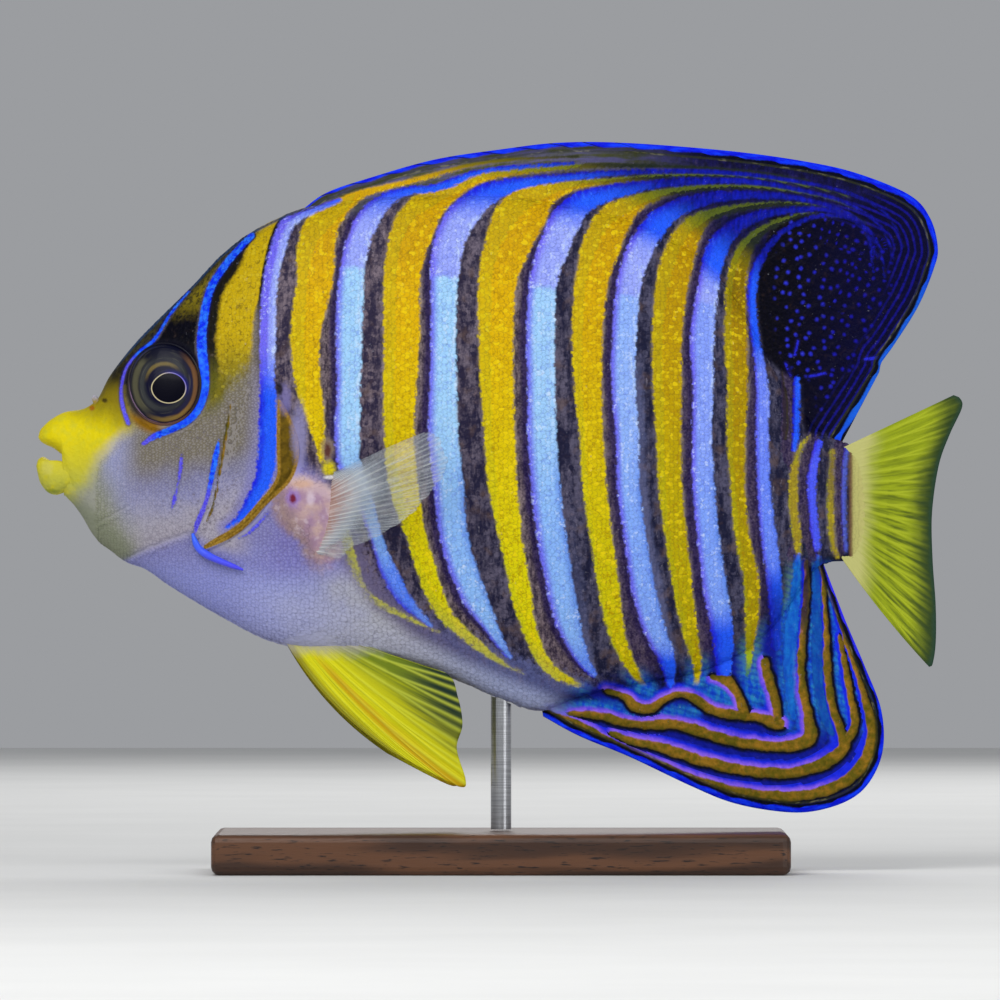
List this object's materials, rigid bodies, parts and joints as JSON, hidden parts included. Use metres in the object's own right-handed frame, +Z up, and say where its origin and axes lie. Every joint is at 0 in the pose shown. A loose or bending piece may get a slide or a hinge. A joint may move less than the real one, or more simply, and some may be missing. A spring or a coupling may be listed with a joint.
{
  "type": "regal angelfish",
  "caption": "Life-size museum-type model of a regal angelfish swimming level, held by a short rod on a flat wooden display base.",
  "frame": {"origin": "centre of the display base's underside", "axes": "+X toward the tail (the snout faces -X), +Y toward the fish's right flank, +Z up"},
  "size_m": [0.1806, 0.062, 0.1423],
  "materials": {
    "head": "satin painted resin",
    "lower_jaw": "satin painted resin",
    "gill_cover": "satin painted resin",
    "cheek_spine": "glossy painted resin",
    "torso": "satin painted resin with bars",
    "tail_stem": "satin painted resin",
    "dorsal_fin": "satin painted resin",
    "anal_fin": "satin painted resin",
    "caudal_fin": "satin painted resin",
    "pelvic_fin": "satin painted resin",
    "pectoral_fin": "thin clear resin",
    "eye": "polished",
    "stand_base": "dark oiled wood",
    "stand_rod": "brushed"
  },
  "bodies": {
    "root": {"head": "head", "lower_jaw": "lower_jaw", "gill_cover_left": "gill_cover", "gill_cover_right": "gill_cover", "cheek_spine_left": "cheek_spine", "cheek_spine_right": "cheek_spine", "torso": "torso", "tail_stem": "tail_stem", "dorsal_fin": "dorsal_fin", "anal_fin": "anal_fin", "caudal_fin": "caudal_fin", "pelvic_fin_left": "pelvic_fin", "pelvic_fin_right": "pelvic_fin", "pectoral_fin_left": "pectoral_fin", "pectoral_fin_right": "pectoral_fin", "eye_left": "eye", "eye_right": "eye", "stand_base": "stand_base", "stand_rod": "stand_rod"}
  },
  "joints": []
}
